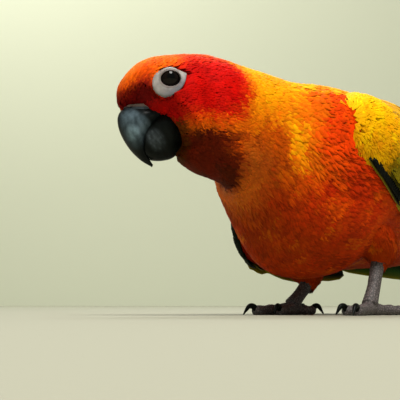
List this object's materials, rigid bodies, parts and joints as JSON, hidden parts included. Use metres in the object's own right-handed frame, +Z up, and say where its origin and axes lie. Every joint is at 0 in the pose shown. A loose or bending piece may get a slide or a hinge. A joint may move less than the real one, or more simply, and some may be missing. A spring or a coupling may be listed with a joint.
{
  "type": "sun conure",
  "caption": "A small parrot in scarlet, orange and golden plumage stands low with its head turned and bent down.",
  "frame": {"origin": "on the floor, at the middle of the whole bird's footprint", "axes": "+X from the bill to the tail, +Y the bird's right side, +Z up"},
  "size_m": [0.2764, 0.0688, 0.0845],
  "materials": {
    "plumage_scarlet": "soft short feathers, matt",
    "plumage_orange": "soft layered feathers, matt",
    "plumage_golden": "smooth wing feathers, slightly silky",
    "plumage_olive": "long tail feathers, slightly silky",
    "bare_skin": "fine wrinkled bare skin, satin",
    "bill_horn": "polished dark horn",
    "eye_gloss": "wet gloss",
    "foot_skin": "small scales, matt"
  },
  "bodies": {
    "root": {"head": "plumage_scarlet", "neck": "plumage_orange", "torso": "plumage_orange", "bill_upper": "bill_horn", "bill_lower": "bill_horn", "cere": "bare_skin", "eye_left": "eye_gloss", "eye_right": "eye_gloss", "eye_ring_left": "bare_skin", "eye_ring_right": "bare_skin", "wing_left": "plumage_golden", "wing_right": "plumage_golden", "tail": "plumage_olive", "thigh_left": "plumage_orange", "thigh_right": "plumage_orange", "foot_left": "foot_skin", "foot_right": "foot_skin"}
  },
  "joints": []
}
